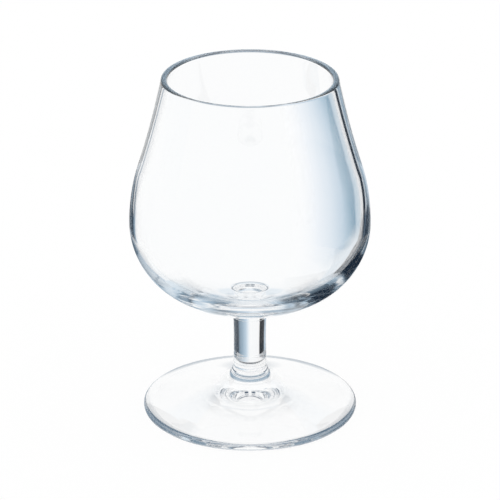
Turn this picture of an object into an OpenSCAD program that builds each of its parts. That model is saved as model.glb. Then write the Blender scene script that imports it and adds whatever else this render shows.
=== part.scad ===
// Brandy snifter: a blown bowl, a solid stem and a pressed foot, welded end to end.
// Millimetres, +Z up, origin in the middle of the face that the foot rests on.

/* [Bowl] */
// Outside diameter at the widest level
bowl_d = 80; // [72:1:88]
// Outside diameter of the lip
rim_d = 58.2; // [50:0.2:68]
// Outside depth of the bowl below its widest level
belly_depth = 30.8; // [27:0.2:36]
// Outside radius of the bottom of the bowl, below the round of the side
base_r = 50.4; // [46:0.2:60]
// Height of the wall above the widest level, up to the top of the lip
wall_h = 50.4; // [40:0.2:64]
// Outside radius of the wall's curve just above the widest level
shoulder_r = 64; // [50:1:90]
// Outside radius of the wall's slight reverse curve below the lip
throat_r = 300; // [200:10:600]
// Glass thickness at the widest level
wall_t = 2.4; // [1.6:0.1:3.2]
// Glass thickness at the lip, which is a full round
rim_t = 2.1; // [1.4:0.1:2.6]
// Glass thickness in the middle of the floor
floor_t = 6; // [4:0.2:9]
// Inside radius of the floor, below the round of the side
floor_r = 65; // [50:1:90]

/* [Stub under the bowl] */
// Length from the bottom of the bowl to the weld face
stub_l = 3.2; // [2.6:0.1:6]
// Fillet between the stub and the bowl
stub_fillet_r = 2; // [1:0.1:3]

/* [Stem] */
// Diameter at both welds, shared by the stub and the boss
stem_d = 11.3; // [9:0.1:14]
// Length between the two weld faces
stem_l = 16.5; // [10:0.5:40]
// How far the middle of the stem is drawn in
stem_waist = 0.15; // [0.05:0.05:0.6]
// Rounding of the stem's ends, which leaves a fine groove at each weld
seam_r = 0.25; // [0.1:0.05:0.5]

/* [Foot] */
// Outside diameter
foot_d = 72; // [60:1:86]
// Height from the resting face to the lower weld
foot_h = 17; // [14:0.5:22]
// Thickness of the edge, which is a full round
edge_t = 2.9; // [2:0.1:4]
// Fillet between the boss and the top of the disc
boss_fillet_r = 7; // [4:0.5:9]
// Width of the flat ring that the glass rests on
rest_w = 2.5; // [1.5:0.1:5]
// Height of the hollow underneath, in the middle
hollow_h = 5; // [3:0.2:6.4]

/* [Hidden] */
// Names of the separate pieces
// Clear colourless glass with a faint blue cast
glass_colour = [0.84, 0.9, 0.94, 0.5];
// Straight steps in the outline of each arc, and round each turned piece
arc_steps = 24;
$fn = 160;

bowl_radius = bowl_d / 2;
stem_radius = stem_d / 2;
foot_radius = foot_d / 2;
lip_radius = rim_t / 2;
edge_radius = edge_t / 2;

// Levels of the two welds, the bowl's bottom, its widest level and its lip
lower_weld_z = foot_h;
upper_weld_z = lower_weld_z + stem_l;
bottom_z = upper_weld_z + stub_l;
widest_z = bottom_z + belly_depth;
rim_z = widest_z + wall_h;

// Points of an arc from angle a0 to angle a1
function arc(centre, radius, a0, a1) =
    [for (i = [0:arc_steps]) let (a = a0 + (a1 - a0) * i / arc_steps) centre + radius * [cos(a), sin(a)]];

function angle_of(v) = atan2(v.y, v.x);

// Radius of the side of a round-bottomed bowl: it starts upright at the widest radius,
// and runs without a kink into a bottom of radius base that lies depth below
function side_radius(widest, depth, base) =
    (2 * base * depth - depth * depth - widest * widest) / (2 * (base - widest));

// How far below the level the side runs into the bottom, as an angle at the side's centre
function side_sweep(widest, side, base) = acos((widest - side) / (base - side));

// Centre of a circle that lies reach_a from point a and reach_b from point b, outside the wall
function outer_centre(a, reach_a, b, reach_b) =
    let (span = b - a)
    let (turn = acos((reach_a * reach_a + span * span - reach_b * reach_b) / (2 * reach_a * norm(span))))
    let (direction = angle_of(span) - turn)
    a + reach_a * [cos(direction), sin(direction)];

// Outside of the bowl from the weld face up to the lip, in order
base_centre = [0, bottom_z + base_r];
stub_reach = stem_radius + stub_fillet_r;
stub_drop = sqrt(pow(base_r + stub_fillet_r, 2) - stub_reach * stub_reach);
stub_centre = [stub_reach, base_centre.y - stub_drop];
stub_angle = angle_of(stub_centre - base_centre);
side_r = side_radius(bowl_radius, belly_depth, base_r);
side_centre = [bowl_radius - side_r, widest_z];
side_angle = side_sweep(bowl_radius, side_r, base_r);
shoulder_centre = [bowl_radius - shoulder_r, widest_z];
lip_centre = [rim_d / 2 - lip_radius, rim_z - lip_radius];
throat_centre = outer_centre(shoulder_centre, shoulder_r + throat_r, lip_centre, throat_r + lip_radius);
shoulder_angle = angle_of(throat_centre - shoulder_centre);
lip_angle = angle_of(throat_centre - lip_centre);

// Inside of the bowl, built the same way from its own thicknesses
cup_radius = bowl_radius - wall_t;
cup_depth = belly_depth - floor_t;
cup_side_r = side_radius(cup_radius, cup_depth, floor_r);
cup_side_centre = [cup_radius - cup_side_r, widest_z];
cup_side_angle = side_sweep(cup_radius, cup_side_r, floor_r);
floor_centre = [0, widest_z - cup_depth + floor_r];
cup_shoulder_r = shoulder_r - wall_t;
cup_throat_r = throat_r + wall_t;
cup_throat_centre =
    outer_centre(shoulder_centre, cup_shoulder_r + cup_throat_r, lip_centre, cup_throat_r - lip_radius);
cup_shoulder_angle = angle_of(cup_throat_centre - shoulder_centre);
cup_lip_angle = angle_of(cup_throat_centre - lip_centre);

// Middle of the stem and the large circle of its waist
stem_mid_z = (lower_weld_z + upper_weld_z) / 2;
waist_reach = stem_l / 2 - seam_r;
waist_r = (waist_reach * waist_reach + stem_waist * stem_waist) / (2 * stem_waist);
waist_centre = [stem_radius - stem_waist + waist_r, stem_mid_z];
waist_angle = asin(waist_reach / waist_r);

// Top of the foot: the line that touches the edge's round from above and the boss fillet from below
edge_centre = [foot_radius - edge_radius, edge_radius];
boss_centre = [stem_radius + boss_fillet_r, lower_weld_z];
top_span = boss_centre - edge_centre;
top_angle = angle_of(top_span) - acos((edge_radius + boss_fillet_r) / norm(top_span));

// Hollow underneath, a shallow dome inside the resting ring
hollow_radius = foot_radius - edge_radius - rest_w;
dome_r = (hollow_radius * hollow_radius + hollow_h * hollow_h) / (2 * hollow_h);
dome_centre = [0, hollow_h - dome_r];
dome_angle = acos(hollow_radius / dome_r);

// Half outline of the bowl: weld face, stub, bottom, side, wall and lip, then down the inside
function bowl_outline() = concat(
    [[0, upper_weld_z], [stem_radius, upper_weld_z]],
    arc(stub_centre, stub_fillet_r, 180, stub_angle + 180),
    arc(base_centre, base_r, stub_angle, -side_angle),
    arc(side_centre, side_r, -side_angle, 0),
    arc(shoulder_centre, shoulder_r, 0, shoulder_angle),
    arc(throat_centre, throat_r, shoulder_angle + 180, lip_angle + 180),
    arc(lip_centre, lip_radius, lip_angle, cup_lip_angle + 180),
    arc(cup_throat_centre, cup_throat_r, cup_lip_angle + 180, cup_shoulder_angle + 180),
    arc(shoulder_centre, cup_shoulder_r, cup_shoulder_angle, 0),
    arc(cup_side_centre, cup_side_r, 0, -cup_side_angle),
    arc(floor_centre, floor_r, -cup_side_angle, -90)
);

// Half outline of the stem: waisted side between two rounded ends
function stem_outline() = concat(
    [[0, lower_weld_z]],
    arc([stem_radius - seam_r, lower_weld_z + seam_r], seam_r, -90, 0),
    arc(waist_centre, waist_r, 180 + waist_angle, 180 - waist_angle),
    arc([stem_radius - seam_r, upper_weld_z - seam_r], seam_r, 0, 90),
    [[0, upper_weld_z]]
);

// Half outline of the foot: hollow, resting ring, edge, sloping top and boss
function foot_outline() = concat(
    arc(dome_centre, dome_r, 90, dome_angle),
    arc(edge_centre, edge_radius, -90, top_angle),
    arc(boss_centre, boss_fillet_r, top_angle + 180, 180),
    [[0, lower_weld_z]]
);

// Each piece is a turned solid
module turned(outline) {
    color(glass_colour)
        rotate_extrude()
            polygon(outline);
}

// Blown bowl with its stub
module bowl() {
    turned(bowl_outline());
}

// Solid stem
module stem() {
    turned(stem_outline());
}

// Pressed foot with its boss
module foot() {
    turned(foot_outline());
}

bowl();
stem();
foot();
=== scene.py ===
import math

import bmesh
import bpy
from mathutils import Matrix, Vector


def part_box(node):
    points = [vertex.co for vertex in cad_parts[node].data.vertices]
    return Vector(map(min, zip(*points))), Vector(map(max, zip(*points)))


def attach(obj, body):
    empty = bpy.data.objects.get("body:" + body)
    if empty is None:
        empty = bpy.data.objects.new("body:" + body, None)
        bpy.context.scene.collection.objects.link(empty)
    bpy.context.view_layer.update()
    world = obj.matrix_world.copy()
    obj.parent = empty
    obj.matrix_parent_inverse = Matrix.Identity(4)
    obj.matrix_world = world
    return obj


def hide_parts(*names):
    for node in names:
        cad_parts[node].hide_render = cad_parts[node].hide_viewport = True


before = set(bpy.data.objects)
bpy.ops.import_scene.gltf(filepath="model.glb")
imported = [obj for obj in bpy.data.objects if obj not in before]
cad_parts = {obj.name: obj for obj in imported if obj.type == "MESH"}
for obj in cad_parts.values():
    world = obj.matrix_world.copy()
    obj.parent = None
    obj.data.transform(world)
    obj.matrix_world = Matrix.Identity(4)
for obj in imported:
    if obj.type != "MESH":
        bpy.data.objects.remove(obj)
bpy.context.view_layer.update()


# Foot: a pressed glass disc with a flared boss in the middle of its top and a rounded edge.
# It stands on a flat ring under that edge; inside the ring its underside is a shallow dome.
_, foot_high = (Vector(corner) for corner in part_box("foot"))
_, stem_high = (Vector(corner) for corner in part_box("stem"))
foot_radius = foot_high.x
stem_radius = stem_high.x
lower_weld = foot_high.z
edge_thickness = 0.0029
boss_fillet = 0.007
ring_width = 0.0025
hollow_height = 0.005
turning_steps = 192
sweep_steps = 48
round_steps = 32
merge_distance = 1e-7
same_level = 1e-6
nearly_upright = 0.999


def point(radius, height):
    """A point of a half outline, in the plane that is turned about the upright axis."""
    return Vector((radius, 0.0, height))


def polar(centre, radius, angle):
    """The point at an angle on a circle in the outline's plane, anticlockwise from outwards."""
    return centre + point(radius * math.cos(angle), radius * math.sin(angle))


def angle_of(span):
    """The angle of a direction in the outline's plane."""
    return math.atan2(span.z, span.x)


def outline_from(start):
    """A new bmesh with the first point of a half outline, and that point."""
    bm = bmesh.new()
    return bm, bm.verts.new(start)


def line(bm, tip, end):
    """Runs the outline straight on to a point, and gives its new last point."""
    last = bmesh.ops.extrude_vert_indiv(bm, verts=[tip])["verts"][0]
    last.co = end
    return last


def arc(bm, tip, centre, sweep, steps):
    """Swings the outline's last point round a centre, anticlockwise, and gives its new last point."""
    swung = bmesh.ops.spin(bm, geom=[tip], cent=centre, axis=(0, -1, 0), angle=sweep, steps=steps)
    return next(e for e in swung["geom_last"] if isinstance(e, bmesh.types.BMVert))


def turned(bm, name, weld_levels):
    """Turns a half outline into a closed smooth piece; flat faces at a weld level get slot 1."""
    bmesh.ops.spin(
        bm, geom=bm.verts[:] + bm.edges[:], cent=(0, 0, 0), axis=(0, 0, 1),
        angle=2 * math.pi, steps=turning_steps, use_merge=True,
    )
    bmesh.ops.remove_doubles(bm, verts=bm.verts, dist=merge_distance)
    bmesh.ops.recalc_face_normals(bm, faces=bm.faces)
    for face in bm.faces:
        face.smooth = True
        level = face.calc_center_median().z
        at_weld = any(abs(level - weld) < same_level for weld in weld_levels)
        if at_weld and abs(face.normal.z) > nearly_upright:
            face.material_index = 1
    for edge in bm.edges:
        edge.smooth = len({face.material_index for face in edge.link_faces}) == 1
    mesh = bpy.data.meshes.new(name)
    bm.to_mesh(mesh)
    bm.free()
    piece = bpy.data.objects.new(name, mesh)
    bpy.context.scene.collection.objects.link(piece)
    return piece


# clear soda-lime glass, fire-polished: faintly rippled by the moulds, and scuffed where it stands
refractive_index = 1.52
ripple_size = 0.016
ripple_height = 0.00001
cool_tint = (0.990, 0.996, 1.0, 1.0)
clear_tint = (0.998, 1.0, 1.0, 1.0)
handling_size = 1 / 240
handling_range = (0.45, 0.80)
polish_roughness = 0.008
scuff_roughness = 0.03
scuff_level = 0.0002
clear_glass = bpy.data.materials.new("clear_glass")
clear_glass.use_nodes = True
nodes, links = clear_glass.node_tree.nodes, clear_glass.node_tree.links
glass_shader = nodes["Principled BSDF"]
glass_shader.inputs["IOR"].default_value = refractive_index
glass_shader.inputs["Transmission Weight"].default_value = 1.0
glass_place = nodes.new("ShaderNodeTexCoord")
ripples = nodes.new("ShaderNodeTexNoise")
ripples.inputs["Scale"].default_value = 1 / ripple_size
ripples.inputs["Detail"].default_value = 1.0
links.new(glass_place.outputs["Object"], ripples.inputs["Vector"])
ripple_bump = nodes.new("ShaderNodeBump")
ripple_bump.inputs["Distance"].default_value = ripple_height
links.new(ripples.outputs["Fac"], ripple_bump.inputs["Height"])
links.new(ripple_bump.outputs["Normal"], glass_shader.inputs["Normal"])
tint = nodes.new("ShaderNodeMix")
tint.data_type = "RGBA"
tint.inputs["A"].default_value = cool_tint
tint.inputs["B"].default_value = clear_tint
links.new(ripples.outputs["Fac"], tint.inputs["Factor"])
links.new(tint.outputs["Result"], glass_shader.inputs["Base Color"])
handling = nodes.new("ShaderNodeTexNoise")
handling.inputs["Scale"].default_value = 1 / handling_size
links.new(glass_place.outputs["Object"], handling.inputs["Vector"])
polish = nodes.new("ShaderNodeMapRange")
polish.inputs["From Min"].default_value, polish.inputs["From Max"].default_value = handling_range
polish.inputs["To Max"].default_value = polish_roughness
links.new(handling.outputs["Fac"], polish.inputs["Value"])
glass_height = nodes.new("ShaderNodeSeparateXYZ")
links.new(glass_place.outputs["Object"], glass_height.inputs["Vector"])
scuffs = nodes.new("ShaderNodeMapRange")
scuffs.inputs["From Min"].default_value = scuff_level
scuffs.inputs["From Max"].default_value = 0.0
scuffs.inputs["To Max"].default_value = scuff_roughness
links.new(glass_height.outputs["Z"], scuffs.inputs["Value"])
finish = nodes.new("ShaderNodeMath")
finish.operation = "MAXIMUM"
links.new(polish.outputs["Result"], finish.inputs[0])
links.new(scuffs.outputs["Result"], finish.inputs[1])
links.new(finish.outputs["Value"], glass_shader.inputs["Roughness"])

# inside of a weld: glass runs through, so nothing shows
fused_glass = bpy.data.materials.new("fused_glass")
fused_glass.use_nodes = True
fused_shader = fused_glass.node_tree.nodes["Principled BSDF"]
fused_shader.inputs["Alpha"].default_value = 0.0

edge_radius = edge_thickness / 2
edge_centre = point(foot_radius - edge_radius, edge_radius)
boss_centre = point(stem_radius + boss_fillet, lower_weld)
top_span = boss_centre - edge_centre
top_angle = angle_of(top_span) - math.acos((edge_radius + boss_fillet) / top_span.length)
hollow_radius = foot_radius - edge_radius - ring_width
dome_radius = (hollow_radius**2 + hollow_height**2) / (2 * hollow_height)
dome_centre = point(0, hollow_height - dome_radius)
dome_angle = math.acos(hollow_radius / dome_radius)

bm, tip = outline_from(point(0, hollow_height))
tip = arc(bm, tip, dome_centre, dome_angle - math.pi / 2, sweep_steps)
tip = line(bm, tip, point(foot_radius - edge_radius, 0))
tip = arc(bm, tip, edge_centre, top_angle + math.pi / 2, round_steps)
tip = line(bm, tip, polar(boss_centre, boss_fillet, top_angle + math.pi))
tip = arc(bm, tip, boss_centre, -top_angle, round_steps)
tip = line(bm, tip, point(0, lower_weld))
foot = turned(bm, "foot_glass", [lower_weld])
foot.data.materials.append(clear_glass)
foot.data.materials.append(fused_glass)
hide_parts("foot")
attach(foot, "root")


# Stem: a short solid glass rod, drawn in very slightly in the middle.
# Its rounded ends are welded to the foot's boss and to the bowl's stub, with a fine groove at each.
upper_weld = stem_high.z
waist_depth = 0.00015
seam_radius = 0.00025
seam_steps = 12

waist_reach = (upper_weld - lower_weld) / 2 - seam_radius
waist_radius = (waist_reach**2 + waist_depth**2) / (2 * waist_depth)
waist_centre = point(stem_radius - waist_depth + waist_radius, (lower_weld + upper_weld) / 2)
waist_angle = math.asin(waist_reach / waist_radius)

bm, tip = outline_from(point(0, lower_weld))
tip = line(bm, tip, point(stem_radius - seam_radius, lower_weld))
tip = arc(bm, tip, point(stem_radius - seam_radius, lower_weld + seam_radius), math.pi / 2, seam_steps)
tip = arc(bm, tip, waist_centre, -2 * waist_angle, sweep_steps)
tip = arc(bm, tip, point(stem_radius - seam_radius, upper_weld - seam_radius), math.pi / 2, seam_steps)
tip = line(bm, tip, point(0, upper_weld))
stem = turned(bm, "stem_glass", [lower_weld, upper_weld])
stem.data.materials.append(clear_glass)
stem.data.materials.append(fused_glass)
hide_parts("stem")
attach(stem, "root")


# Bowl: press-blown glass with a thick floor, a wall that narrows upwards and a fire-polished lip.
# A short stub under its floor is welded to the top of the stem.
_, bowl_high = (Vector(corner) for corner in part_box("bowl"))
bowl_radius = bowl_high.x
rim_level = bowl_high.z
rim_radius = 0.0291
stub_length = 0.0032
stub_fillet = 0.002
belly_depth = 0.0308
base_radius = 0.0504
shoulder_radius = 0.064
throat_radius = 0.3
wall_thickness = 0.0024
lip_thickness = 0.0021
floor_thickness = 0.006
floor_radius = 0.065
short_steps = 24


def side_radius(widest, depth, base):
    """Radius of a bowl's side that starts upright and runs smoothly into a bottom of a given radius."""
    return (2 * base * depth - depth**2 - widest**2) / (2 * (base - widest))


def side_sweep(widest, side, base):
    """How far below the widest level that side runs, as an angle at its centre."""
    return math.acos((widest - side) / (base - side))


def outer_centre(a, reach_a, b, reach_b):
    """The point outside the wall that lies reach_a from point a and reach_b from point b."""
    span = b - a
    turn = math.acos((reach_a**2 + span.length_squared - reach_b**2) / (2 * reach_a * span.length))
    return polar(a, reach_a, angle_of(span) - turn)


bottom_level = upper_weld + stub_length
widest_level = bottom_level + belly_depth
lip_radius = lip_thickness / 2
base_centre = point(0, bottom_level + base_radius)
stub_reach = stem_radius + stub_fillet
stub_drop = math.sqrt((base_radius + stub_fillet) ** 2 - stub_reach**2)
stub_centre = point(stub_reach, base_centre.z - stub_drop)
stub_angle = angle_of(stub_centre - base_centre)
side = side_radius(bowl_radius, belly_depth, base_radius)
side_centre = point(bowl_radius - side, widest_level)
side_angle = side_sweep(bowl_radius, side, base_radius)
shoulder_centre = point(bowl_radius - shoulder_radius, widest_level)
lip_centre = point(rim_radius - lip_radius, rim_level - lip_radius)
throat_centre = outer_centre(
    shoulder_centre, shoulder_radius + throat_radius, lip_centre, throat_radius + lip_radius
)
shoulder_angle = angle_of(throat_centre - shoulder_centre)
lip_angle = angle_of(throat_centre - lip_centre)

cup_radius = bowl_radius - wall_thickness
cup_depth = belly_depth - floor_thickness
cup_side = side_radius(cup_radius, cup_depth, floor_radius)
cup_side_centre = point(cup_radius - cup_side, widest_level)
cup_side_angle = side_sweep(cup_radius, cup_side, floor_radius)
floor_centre = point(0, widest_level - cup_depth + floor_radius)
cup_shoulder = shoulder_radius - wall_thickness
cup_throat = throat_radius + wall_thickness
cup_throat_centre = outer_centre(
    shoulder_centre, cup_shoulder + cup_throat, lip_centre, cup_throat - lip_radius
)
cup_shoulder_angle = angle_of(cup_throat_centre - shoulder_centre)
cup_lip_angle = angle_of(cup_throat_centre - lip_centre)

bm, tip = outline_from(point(0, upper_weld))
tip = line(bm, tip, point(stem_radius, upper_weld))
tip = line(bm, tip, polar(stub_centre, stub_fillet, math.pi))
tip = arc(bm, tip, stub_centre, stub_angle, short_steps)
tip = arc(bm, tip, base_centre, -side_angle - stub_angle, sweep_steps)
tip = arc(bm, tip, side_centre, side_angle, sweep_steps)
tip = arc(bm, tip, shoulder_centre, shoulder_angle, sweep_steps)
tip = arc(bm, tip, throat_centre, lip_angle - shoulder_angle, short_steps)
tip = arc(bm, tip, lip_centre, cup_lip_angle + math.pi - lip_angle, round_steps)
tip = arc(bm, tip, cup_throat_centre, cup_shoulder_angle - cup_lip_angle, short_steps)
tip = arc(bm, tip, shoulder_centre, -cup_shoulder_angle, sweep_steps)
tip = arc(bm, tip, cup_side_centre, -cup_side_angle, sweep_steps)
tip = arc(bm, tip, floor_centre, cup_side_angle - math.pi / 2, sweep_steps)
bowl = turned(bm, "bowl_glass", [upper_weld])
bowl.data.materials.append(clear_glass)
bowl.data.materials.append(fused_glass)
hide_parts("bowl")
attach(bowl, "root")


# Camera: at the photograph's viewing angle, with a long lens.
camera_lens = 213.5
camera_sensor = 36.0
camera_aim = Vector((0, 0, 0.0571))
camera_elevation = math.radians(22.513)
camera_distance = 0.98645
camera_data = bpy.data.cameras.new("camera")
camera_data.lens = camera_lens
camera_data.sensor_width = camera_sensor
camera = bpy.data.objects.new("camera", camera_data)
bpy.context.scene.collection.objects.link(camera)
camera_side = Vector((0, -math.cos(camera_elevation), math.sin(camera_elevation)))
camera.location = camera_aim + camera_distance * camera_side
camera.rotation_euler = (math.pi / 2 - camera_elevation, 0, 0)
bpy.context.scene.camera = camera


# Stage: a pale floor that glows like a light table, in a white surround with painted grey shade overhead. Its
# other tones are painted light and shade that each show to one kind of light, told by how often the glass has
# mirrored it and let it through.
# Light thrown about inside the glass meets painted shade, which draws the dark edges of clear glass.
many = 999
any_number = (0, many)
clear = (1.0, 1.0, 1.0, 0.0)
white = (1.0, 1.0, 1.0, 1.0)
pale = (0.78, 0.85, 0.91, 1.0)
sky_blue = (0.50, 0.62, 0.73, 1.0)
steel = (0.30, 0.41, 0.51, 1.0)
slate = (0.22, 0.30, 0.38, 1.0)
dusk = (0.13, 0.18, 0.23, 1.0)
painted_edge_shade = (0.065, 0.100, 0.150, 1.0)
navy = (0.012, 0.022, 0.038, 1.0)
floor_size = 3.0
floor_sides = 64
floor_gap = 0.00005
floor_grey = (0.05, 0.05, 0.05, 1.0)
floor_glow = 0.95


def lit_by(nodes, links, reflections, passes):
    """1 for light that the glass reflected and let through so many times, from least to most, else 0."""
    path = nodes.new("ShaderNodeLightPath")
    both = nodes.new("ShaderNodeMath")
    both.operation = "MULTIPLY"
    counts = (("Glossy Depth", reflections), ("Transmission Depth", passes))
    for socket, (count, (least, most)) in zip(both.inputs, counts):
        within = nodes.new("ShaderNodeMath")
        within.operation = "COMPARE"
        links.new(path.outputs[count], within.inputs[0])
        within.inputs[1].default_value = (least + most) / 2
        within.inputs[2].default_value = (most - least) / 2 + 0.5
        links.new(within.outputs["Value"], socket)
    return both.outputs["Value"]


def times(nodes, links, first, second):
    """Two masks multiplied."""
    product = nodes.new("ShaderNodeMath")
    product.operation = "MULTIPLY"
    links.new(first, product.inputs[0])
    links.new(second, product.inputs[1])
    return product.outputs["Value"]


def tone_where(nodes, links, under, tone, mask):
    """One colour, or a socket's, laid over another where a mask is 1."""
    mix = nodes.new("ShaderNodeMix")
    mix.data_type = "RGBA"
    links.new(mask, mix.inputs["Factor"])
    for socket, colour in (("A", under), ("B", tone)):
        if isinstance(colour, bpy.types.NodeSocket):
            links.new(colour, mix.inputs[socket])
        else:
            mix.inputs[socket].default_value = colour
    return mix.outputs["Result"]


def tone_ramp(nodes, links, place, stops):
    """A run of tones at given places, read at a place; gives its colour and its opacity."""
    first, last = stops[0][0], stops[-1][0]
    reach = nodes.new("ShaderNodeMapRange")
    reach.inputs["From Min"].default_value = first
    reach.inputs["From Max"].default_value = last
    links.new(place, reach.inputs["Value"])
    ramp = nodes.new("ShaderNodeValToRGB")
    links.new(reach.outputs["Result"], ramp.inputs["Fac"])
    elements = ramp.color_ramp.elements
    while len(elements) < len(stops):
        elements.new(1.0)
    for element, (at, tone) in zip(elements, stops):
        element.position = (at - first) / (last - first)
        element.color = tone
    return ramp.outputs["Color"], ramp.outputs["Alpha"]


def laid_over(nodes, links, under, place, stops, light, bound=None):
    """A run of tones laid over a colour for one kind of light, and only inside a bound if there is one."""
    tone, cover = tone_ramp(nodes, links, place, stops)
    mask = times(nodes, links, cover, lit_by(nodes, links, *light))
    if bound:
        _, inside = tone_ramp(nodes, links, *bound)
        mask = times(nodes, links, mask, inside)
    return tone_where(nodes, links, under, tone, mask)


floor_bm = bmesh.new()
bmesh.ops.create_circle(floor_bm, cap_ends=True, segments=floor_sides, radius=floor_size)
bmesh.ops.translate(floor_bm, verts=floor_bm.verts, vec=(0, 0, -floor_gap))
floor_mesh = bpy.data.meshes.new("studio_floor")
floor_bm.to_mesh(floor_mesh)
floor_bm.free()
studio_floor = bpy.data.objects.new("studio_floor", floor_mesh)
bpy.context.scene.collection.objects.link(studio_floor)
floor_paint = bpy.data.materials.new("floor_paint")
floor_paint.use_nodes = True
nodes, links = floor_paint.node_tree.nodes, floor_paint.node_tree.links
floor_shader = nodes["Principled BSDF"]
floor_shader.inputs["Base Color"].default_value = floor_grey
floor_shader.inputs["Emission Strength"].default_value = floor_glow
floor_shader.inputs["Specular IOR Level"].default_value = 0.0
floor_place = nodes.new("ShaderNodeTexCoord")
floor_split = nodes.new("ShaderNodeSeparateXYZ")
links.new(floor_place.outputs["Object"], floor_split.inputs["Vector"])
floor_reach = nodes.new("ShaderNodeVectorMath")
floor_reach.operation = "LENGTH"
links.new(floor_place.outputs["Object"], floor_reach.inputs[0])
floor_slant = nodes.new("ShaderNodeLayerWeight")

slant = floor_slant.outputs["Facing"]
across = floor_split.outputs["X"]
behind = floor_split.outputs["Y"]
reach = floor_reach.outputs["Value"]
# runs of painted light and shade laid on the floor, each shown to one kind of light, mostly light seen
# through the glass
steep_run = [(0.0, slate), (0.26, slate), (0.40, white), (1.0, white)]
under_bowl_run = [(-0.030, dusk), (-0.024, steel), (-0.015, slate), (-0.011, steel), (-0.006, pale),
                  (0.010, pale), (0.015, sky_blue), (0.018, dusk), (0.020, navy), (0.034, navy)]
behind_stem_run = [(0.002, clear), (0.006, dusk), (0.0155, dusk), (0.017, white), (0.020, white),
                   (0.023, steel), (0.028, steel), (0.031, clear)]
down_stem_run = [(-0.020, navy), (-0.015, dusk), (-0.011, white), (0.000, white), (0.004, sky_blue),
                 (0.008, slate), (0.012, dusk), (0.020, navy)]
weld_shade_ring = [(0.008, clear), (0.010, navy), (0.017, navy), (0.0195, clear)]
foot_edge_strip = [(0.031, clear), (0.034, slate), (0.040, slate), (0.043, clear)]
pale_ring = [(0.048, clear), (0.052, pale), (0.0555, pale), (0.058, clear)]
round_stem = (reach, [(0.0095, clear), (0.0115, white), (0.033, white), (0.036, clear)])
inside_foot = (reach, [(0.035, white), (0.038, clear)])
middle_of_foot = (across, [(-0.011, clear), (-0.008, white), (0.008, white), (0.011, clear)])
floor_layers = [
    # painted shade: seen steeply down, the floor turns slate grey, to the camera as well
    (slant, steep_run, ((0, 0), any_number), None),
    # painted light and shade through the bowl's bottom: tones on the floor round the stem
    (across, under_bowl_run, ((1, 1), (3, 4)), round_stem),
    (across, under_bowl_run, ((0, 0), (5, 8)), round_stem),
    # painted light and shade through the oval in the bowl's floor and through the boss: tones on the floor
    # behind the stem
    (behind, behind_stem_run, ((2, 3), (1, 6)), inside_foot),
    # painted light and shade down the stem and the boss, with painted shade in a dark ring at the lower weld
    (across, down_stem_run, ((0, 0), (3, 4)), inside_foot),
    (reach, weld_shade_ring, ((0, 0), (3, 4)), None),
    # painted shade along the foot from its front edge to its back edge
    (behind, foot_edge_strip, ((3, 12), (1, 2)), middle_of_foot),
    # painted light through the bowl: a pale ring round the foot
    (reach, pale_ring, ((0, 0), (3, 6)), None),
    # painted shade, which comes nearer the more often the light was turned
    (reach, [(0.140, clear), (0.160, painted_edge_shade)], ((3, 4), any_number), None),
    (reach, [(0.050, clear), (0.058, painted_edge_shade)], ((5, 8), any_number), None),
    (reach, [(0.030, clear), (0.033, painted_edge_shade)], ((9, many), any_number), None),
]
floor_tone = white
for place, stops, light, bound in floor_layers:
    floor_tone = laid_over(nodes, links, floor_tone, place, stops, light, bound)
links.new(floor_tone, floor_shader.inputs["Emission Color"])
floor_mesh.materials.append(floor_paint)

# surround: white, with painted grey shade overhead for light that comes straight through the glass, and
# painted shade for light mirrored three or more times
overhead_shade_run = [(0.0, white), (0.52, white), (0.68, slate), (1.0, slate)]
world = bpy.data.worlds.new("studio")
bpy.context.scene.world = world
world.use_nodes = True
nodes, links = world.node_tree.nodes, world.node_tree.links
world_place = nodes.new("ShaderNodeTexCoord")
world_split = nodes.new("ShaderNodeSeparateXYZ")
links.new(world_place.outputs["Generated"], world_split.inputs["Vector"])
world_tone = laid_over(nodes, links, white, world_split.outputs["Z"], overhead_shade_run, ((0, 0), (1, many)))
world_tone = tone_where(nodes, links, world_tone, painted_edge_shade, lit_by(nodes, links, (3, many), any_number))
links.new(world_tone, nodes["Background"].inputs["Color"])
nodes["Background"].inputs["Strength"].default_value = 1.0


# Cards: glowing dark, blue and white cards stand round the glass and turn with the camera; they paint the
# reflections and the bands of light and shade seen in it. Each shows to one kind of light: straight through,
# mirrored by the outside, or turned inside the glass.
card_steps = 24
streak_scale = (14.0, 14.0, 170.0)
streak_range = (0.3, 0.7)
black = (0.004, 0.007, 0.012, 1.0)
bpy.context.view_layer.update()


def plain(tone):
    """One tone all the way round."""
    return [(-180, tone), (180, tone)]


def drifted(nodes, links, place, height, level, lean, bow):
    """A place round a card, moved by lean times the height above a level, and bow times its square."""
    rise = nodes.new("ShaderNodeMath")
    rise.operation = "SUBTRACT"
    links.new(height, rise.inputs[0])
    rise.inputs[1].default_value = level
    slope = nodes.new("ShaderNodeMath")
    slope.operation = "MULTIPLY_ADD"
    links.new(rise.outputs["Value"], slope.inputs[0])
    slope.inputs[1].default_value = bow
    slope.inputs[2].default_value = lean
    moved = nodes.new("ShaderNodeMath")
    moved.operation = "MULTIPLY_ADD"
    links.new(rise.outputs["Value"], moved.inputs[0])
    links.new(slope.outputs["Value"], moved.inputs[1])
    links.new(place, moved.inputs[2])
    return moved.outputs["Value"]


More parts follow.
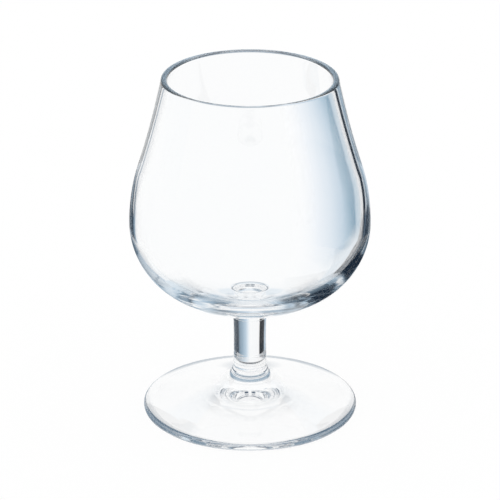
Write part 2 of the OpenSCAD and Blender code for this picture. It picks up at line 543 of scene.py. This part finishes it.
def streaked(nodes, links, place, where, degrees):
    """A place round a card, moved to and fro by up to so many degrees in flat streaks."""
    stretch = nodes.new("ShaderNodeMapping")
    stretch.inputs["Scale"].default_value = streak_scale
    links.new(where, stretch.inputs["Vector"])
    noise = nodes.new("ShaderNodeTexNoise")
    noise.inputs["Scale"].default_value = 1.0
    noise.inputs["Detail"].default_value = 2.0
    links.new(stretch.outputs["Vector"], noise.inputs["Vector"])
    shift = nodes.new("ShaderNodeMapRange")
    shift.inputs["From Min"].default_value, shift.inputs["From Max"].default_value = streak_range
    shift.inputs["To Min"].default_value = -degrees
    shift.inputs["To Max"].default_value = degrees
    links.new(noise.outputs["Fac"], shift.inputs["Value"])
    moved = nodes.new("ShaderNodeMath")
    moved.operation = "ADD"
    links.new(place, moved.inputs[0])
    links.new(shift.outputs["Result"], moved.inputs[1])
    return moved.outputs["Value"]


def card_paint(name, stops, light, fades, drift, streaks):
    """A card's material: glowing tones of painted light and shade that run round it, with soft edges, and
    clear to every other light.
    """
    paint = bpy.data.materials.new(name + "_paint")
    paint.use_nodes = True
    nodes, links = paint.node_tree.nodes, paint.node_tree.links
    nodes.clear()
    where = nodes.new("ShaderNodeTexCoord")
    split = nodes.new("ShaderNodeSeparateXYZ")
    links.new(where.outputs["Object"], split.inputs["Vector"])
    turn = nodes.new("ShaderNodeMath")
    turn.operation = "ARCTAN2"
    links.new(split.outputs["X"], turn.inputs[0])
    links.new(split.outputs["Y"], turn.inputs[1])
    degrees = nodes.new("ShaderNodeMath")
    degrees.operation = "DEGREES"
    links.new(turn.outputs["Value"], degrees.inputs[0])
    place = degrees.outputs["Value"]
    if drift:
        place = drifted(nodes, links, place, split.outputs["Z"], *drift)
    if streaks:
        place = streaked(nodes, links, place, where.outputs["Object"], streaks)
    tone, cover = tone_ramp(nodes, links, place, stops)
    mask = times(nodes, links, cover, lit_by(nodes, links, *light))
    for bare, full in fades:
        soft_edge = nodes.new("ShaderNodeMapRange")
        soft_edge.inputs["From Min"].default_value = bare
        soft_edge.inputs["From Max"].default_value = full
        links.new(split.outputs["Z"], soft_edge.inputs["Value"])
        mask = times(nodes, links, mask, soft_edge.outputs["Result"])
    shine = nodes.new("ShaderNodeEmission")
    links.new(tone, shine.inputs["Color"])
    cut = nodes.new("ShaderNodeMixShader")
    links.new(mask, cut.inputs["Fac"])
    links.new(nodes.new("ShaderNodeBsdfTransparent").outputs["BSDF"], cut.inputs[1])
    links.new(shine.outputs["Emission"], cut.inputs[2])
    output = nodes.new("ShaderNodeOutputMaterial")
    links.new(cut.outputs["Shader"], output.inputs["Surface"])
    return paint


def card(name, low, high, stops, light, fades=(), drift=None, streaks=0.0):
    """A card between two arcs round the glass, each (radius, first degree, last degree, height), with the
    degrees counted to the right of straight behind it. A fade is the (bare, full) heights of a soft edge,
    a drift the (level, lean, bow) by which the tones move round, and streaks are in degrees."""
    bm = bmesh.new()
    edges = []
    for radius, first, last, height in (low, high):
        angles = [math.radians(first + (last - first) * i / card_steps) for i in range(card_steps + 1)]
        verts = [bm.verts.new((radius * math.sin(a), radius * math.cos(a), height)) for a in angles]
        edges += [bm.edges.new(pair) for pair in zip(verts, verts[1:])]
    bmesh.ops.bridge_loops(bm, edges=edges)
    mesh = bpy.data.meshes.new(name)
    bm.to_mesh(mesh)
    bm.free()
    mesh.materials.append(card_paint(name, stops, light, fades, drift, streaks))
    sheet = bpy.data.objects.new(name, mesh)
    bpy.context.scene.collection.objects.link(sheet)
    sheet.parent = camera
    sheet.matrix_parent_inverse = camera.matrix_world.inverted()
    sheet.visible_camera = False
    sheet.visible_diffuse = False
    sheet.visible_shadow = False


# the bowl's wall, for light turned once between its two faces: painted shade in dark bands down both sides,
# and painted light inside the mouth
wall_light = ((1, 1), (1, 2))
card("wall_right_high", (0.060, 36, 84, 0.0575), (0.060, 36, 84, 0.110),
     [(20, steel), (51, steel), (54, pale), (56.5, pale), (58.5, black), (64, black), (66, clear),
      (90, clear)],
     wall_light, fades=[(0.061, 0.065)], drift=(0.0975, 0, -10000))
wall_right_run = [(0, navy), (71, navy), (72.5, dusk), (74.5, dusk), (76, navy), (80, navy), (83, clear),
                  (120, clear)]
for name, low, high in (
    ("wall_right_low", (0.0605, 48, 115, 0.001), (0.0605, 55, 115, 0.044)),
    ("wall_right_middle", (0.0605, 55, 115, 0.044), (0.0605, 42, 100, 0.066)),
):
    card(name, low, high, wall_right_run, wall_light, fades=[(0.066, 0.062)], drift=(0.055, 533, 0))
card("wall_right_base", (0.060, 44, 115, 0.001), (0.060, 48, 115, 0.016),
     [(40, steel), (58, steel), (72, sky_blue), (115, sky_blue)], wall_light, fades=[(0.014, 0.006)])
card("wall_right_mat", (0.054, 43, 115, 0.001), (0.060, 44, 115, 0.001),
     [(40, steel), (115, sky_blue)], wall_light)
card("wall_right_spot", (0.037, 40, 115, 0.001), (0.054, 43, 115, 0.001),
     [(40, navy), (66, dusk), (115, steel)], wall_light)
card("wall_left_high", (0.060, -84, -36, 0.0575), (0.060, -84, -36, 0.110),
     [(-90, clear), (-61, clear), (-59, slate), (-57.5, slate), (-55.5, white), (-52.5, white),
      (-50.5, black), (-47.5, black), (-45, steel), (-20, steel)],
     wall_light, fades=[(0.059, 0.064)], drift=(0.0975, 0, 10000))
card("wall_left_middle", (0.0605, -115, -55, 0.044), (0.0605, -100, -42, 0.066),
     [(-100, clear), (-76, clear), (-72, sky_blue), (-69, steel), (-65, navy), (-40, navy)],
     wall_light, fades=[(0.068, 0.060), (0.0445, 0.047)])
card("wall_left_low", (0.0605, -115, -48, 0.001), (0.0605, -115, -55, 0.044),
     [(-115, clear), (-68, clear), (-58, sky_blue), (-48, sky_blue)], wall_light)
card("wall_left_mat", (0.037, -115, -40, 0.001), (0.060, -115, -44, 0.001), plain(pale), wall_light)
card("mouth_white", (0.045, 20, 86, 0.046), (0.045, 20, 86, 0.095),
     [(0, white), (71, white), (77, clear), (100, clear)],
     wall_light, fades=[(0.046, 0.051)], drift=(0.060, 400, 0))

# painted reflections in the outside of the glass: dark at the sides and below, blue over the lip
mirrored_light = ((1, 1), (0, 0))
lip_blue = (0.62, 0.78, 0.92, 1.0)
card("mirror_right_low", (0.052, 60, 125, 0.018), (0.052, 60, 125, 0.064), plain(navy),
     mirrored_light, fades=[(0.018, 0.024)])
card("mirror_right_mat", (0.0365, 36, 150, 0.0008), (0.110, 36, 150, 0.0008),
     [(36, navy), (130, navy), (150, steel)], mirrored_light)
card("mirror_front_mat", (0.0365, 150, 324, 0.0008), (0.100, 150, 324, 0.0048), plain(steel),
     mirrored_light, fades=[(0.0048, 0.0028)])
card("mirror_right_high", (0.052, 52, 122, 0.064), (0.052, 48, 95, 0.120),
     [(48, pale), (60, sky_blue), (66, steel), (71, navy), (106, navy), (122, clear)], mirrored_light)
card("mirror_lip", (0.150, -110, 110, 0.09), (0.150, -110, 110, 0.26), plain(lip_blue),
     mirrored_light, fades=[(0.09, 0.13), (0.26, 0.20)])
card("mirror_left_low", (0.052, -104, -60, 0.012), (0.052, -104, -60, 0.058),
     [(-104, clear), (-97, navy), (-60, navy)],
     mirrored_light, fades=[(0.012, 0.018), (0.057, 0.050)])
card("mirror_left", (0.052, -90, -60, 0.045), (0.052, -81, -52, 0.085), plain(navy),
     mirrored_light, fades=[(0.050, 0.056), (0.082, 0.074)])

# painted light and shade straight through the bowl: a glowing blue panel on the right, with a dark edge low
# down
straight_light = ((0, 0), (3, many))
haze = (0.85, 0.89, 0.94, 1.0)
mist = (0.69, 0.77, 0.85, 1.0)
denim = (0.46, 0.59, 0.71, 1.0)
sea = (0.18, 0.36, 0.50, 1.0)
deep_sea = (0.02, 0.20, 0.36, 1.0)
shoal = (0.34, 0.52, 0.66, 1.0)
shore = (0.48, 0.62, 0.74, 1.0)
blue_run = [(10, clear), (16, haze), (20, mist), (24, denim), (28, sea), (31.5, deep_sea), (33.5, shoal),
            (40, shore), (46, clear)]
card("right_blue", (0.102, 4, 50, 0.040), (0.102, 4, 50, 0.12), blue_run,
     straight_light, drift=(0.040, 0, 4000))
card("right_blue_low", (0.102, 4, 50, 0.010), (0.102, 4, 50, 0.040), blue_run, straight_light)
card("right_blue_foot", (0.064, 4, 50, 0.0005), (0.102, 4, 50, 0.010), blue_run,
     straight_light, fades=[(0.0005, 0.012)])
for name, low, high in (
    ("right_pale_low", (0.1015, 4, 60, 0.010), (0.1015, 4, 60, 0.032)),
    ("right_pale_foot", (0.0635, 4, 60, 0.0006), (0.1015, 4, 60, 0.010)),
):
    card(name, low, high, [(0, clear), (20, clear), (26, pale), (60, pale)],
         straight_light, fades=[(0.031, 0.018)], drift=(0.0, -333, 0))
card("right_low_dark", (0.070, 34, 88, 0.001), (0.070, 34, 88, 0.056),
     [(30, clear), (45.5, clear), (47, navy), (110, navy)],
     straight_light, fades=[(0.056, 0.050)], drift=(0.035, -320, 0))

# painted light and shade for light turned many times in the bowl's thick bottom: streaked crescents, and blue
# from above
deep_light = ((5, many), (1, many))
grazing_light = ((21, many), (1, 2))
edge_blue = (0.42, 0.54, 0.66, 1.0)
card("crescent_low", (0.150, -135, 135, 0.080), (0.150, -135, 135, 0.101),
     [(-135, steel), (-100, slate), (-90, dusk), (-81, slate), (-77, pale), (-72, steel), (-62, slate),
      (-58, navy), (-41, navy), (-38, steel), (-36, sky_blue), (-32, navy), (-26, dusk), (-20, dusk),
      (-16, steel), (-8, steel), (-3, pale), (2, sky_blue), (8, steel), (13, dusk), (17, dusk), (21, steel),
      (27, sky_blue), (31, white), (42, white), (46, pale), (48, steel), (52, pale), (60, pale),
      (70, steel), (80, sky_blue), (135, sky_blue)],
     deep_light, streaks=3.0)
card("crescent_high", (0.150, -135, 135, 0.101), (0.150, -135, 135, 0.14),
     [(-135, navy), (-84, navy), (-80, slate), (-77, pale), (-71, white), (-67, slate), (-64, navy),
      (-37, navy), (-34, steel), (-32, sky_blue), (-30, navy), (-27, dusk), (-25, sky_blue), (-22, steel),
      (-18, pale), (-14, white), (18, white), (20, slate), (23, white), (30, sky_blue), (34, sky_blue),
      (36, navy), (39, slate), (45, dusk), (48, steel), (50, pale), (52, sky_blue), (56, pale), (76, pale),
      (78, slate), (80, pale), (135, sky_blue)],
     deep_light, streaks=3.0)
card("grazing_right", (0.060, -140, -100, 0.060), (0.060, -140, -100, 0.100), plain(slate), grazing_light)
card("grazing_left", (0.060, 100, 140, 0.060), (0.060, 100, 140, 0.100), plain(slate), grazing_light)
card("edge_ring", (0.151, -134, 134, 0.14), (0.151, -134, 134, 0.36), plain(edge_blue), deep_light)
card("front_white", (0.155, 135, 225, 0.0), (0.155, 135, 225, 0.36), plain(white), deep_light)

# painted light and shade for light turned a few times in the foot: white in front and behind, and painted
# shade where its edge and boss look
turned_light = ((2, 4), (1, many))
tumbled_light = ((2, many), (1, many))
foot_edge_light = ((5, many), (1, 2))
foot_rim_light = ((7, many), (1, 2))
boss_light = ((3, 3), (1, 2))
card("front_low_white", (0.156, 70, 290, 0.0), (0.156, 70, 290, 0.078), plain(white), tumbled_light)
card("back_white", (0.1495, -20, 20, 0.0), (0.1495, -20, 20, 0.36), plain(white), turned_light)
card("edge_behind", (0.0385, -25, 25, 0.0004), (0.0385, -25, 25, 0.014),
     [(-25, clear), (-20, slate), (-8, slate), (-5, clear), (5, clear), (8, slate), (20, slate), (25, clear)],
     foot_rim_light)
card("edge_right", (0.0385, 112, 160, 0.0004), (0.0385, 112, 160, 0.008), plain(slate), foot_rim_light)
card("edge_left", (0.0385, 200, 248, 0.0004), (0.0385, 200, 248, 0.008), plain(slate), foot_rim_light)
card("front_edge", (0.1545, 150, 210, 0.12), (0.1545, 150, 210, 0.20), plain(sky_blue), foot_edge_light)
card("back_edge", (0.1485, -34, 34, 0.066), (0.1485, -34, 34, 0.080), plain(steel), foot_edge_light)
card("back_low", (0.149, -34, 34, 0.0), (0.149, -34, 34, 0.080),
     [(-34, steel), (-28, slate), (-24, sky_blue), (-12, white), (14, white), (22, sky_blue), (34, pale)],
     deep_light)
card("boss_back", (0.148, -30, 30, 0.0), (0.148, -30, 30, 0.050), plain(steel), boss_light)

# painted light and shade straight through the stem: dark at both sides, and a blue run into the white middle
stem_light = ((0, 0), (1, 2))
card("stem_arc", (0.0385, -66, 86, -0.02), (0.0385, -66, 86, 0.018),
     [(-66, sky_blue), (-48, sky_blue), (-44, black), (-24, black), (-21, clear), (-2, clear), (4, pale),
      (9, sky_blue), (18, steel), (26, slate), (32, navy), (86, navy)],
     stem_light)


# Render settings: enough bounces for light that is thrown about inside the thick glass.
light_bounces = 48
bpy.context.scene.cycles.max_bounces = light_bounces
bpy.context.scene.cycles.transmission_bounces = light_bounces
bpy.context.scene.cycles.glossy_bounces = light_bounces
bpy.context.scene.view_settings.view_transform = "Standard"
